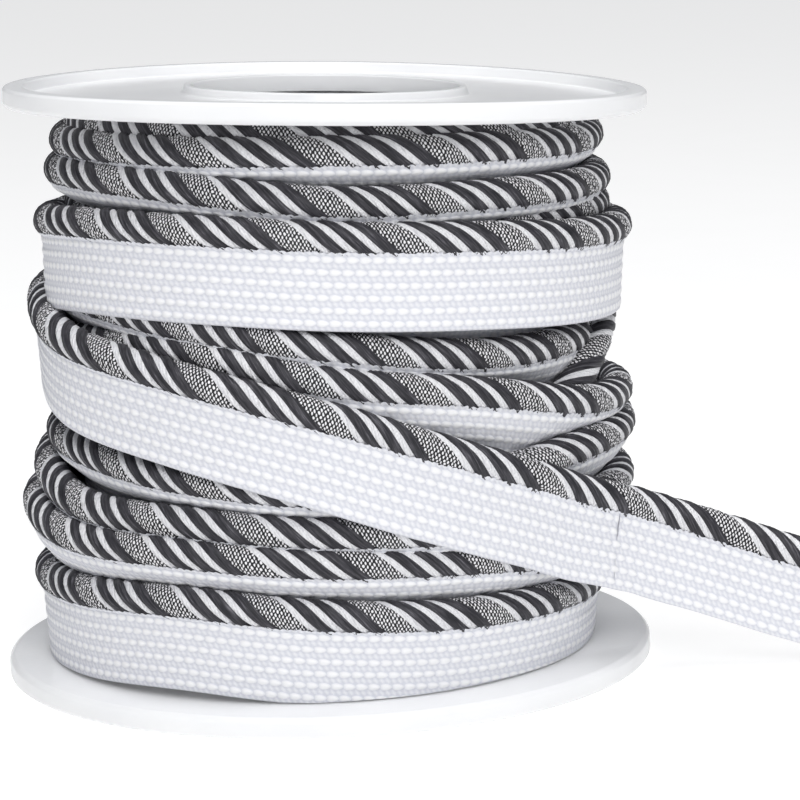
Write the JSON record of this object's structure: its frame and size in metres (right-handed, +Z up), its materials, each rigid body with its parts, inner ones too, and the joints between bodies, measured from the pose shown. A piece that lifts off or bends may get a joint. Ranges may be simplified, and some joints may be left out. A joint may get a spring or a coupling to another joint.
{
  "type": "twisted lip cord on a flanged spool",
  "caption": "Two-tone twisted cord sewn to a flat braided lip, wound on a translucent flanged plastic spool, with a loose end leaving at the front right.",
  "frame": {"origin": "on the surface that the spool stands on, under the middle of the leaning spool", "axes": "+Z up along the upright, -Y towards the front, +X to the side where the loose end leaves"},
  "size_m": [0.1311, 0.0996, 0.0909],
  "materials": {
    "spool_plastic": "milky translucent moulded plastic, glossy",
    "wound_trim": "charcoal and white twisted cord over white braided lip, satin",
    "cord": "charcoal plies with white gimps and one mixed ply, satin",
    "lip": "white flat braid, matt"
  },
  "bodies": {
    "root": {"bottom_flange": "spool_plastic", "barrel": "spool_plastic", "top_flange": "spool_plastic", "wound_trim": "wound_trim", "loose_cord": "cord", "loose_lip": "lip"}
  },
  "joints": []
}
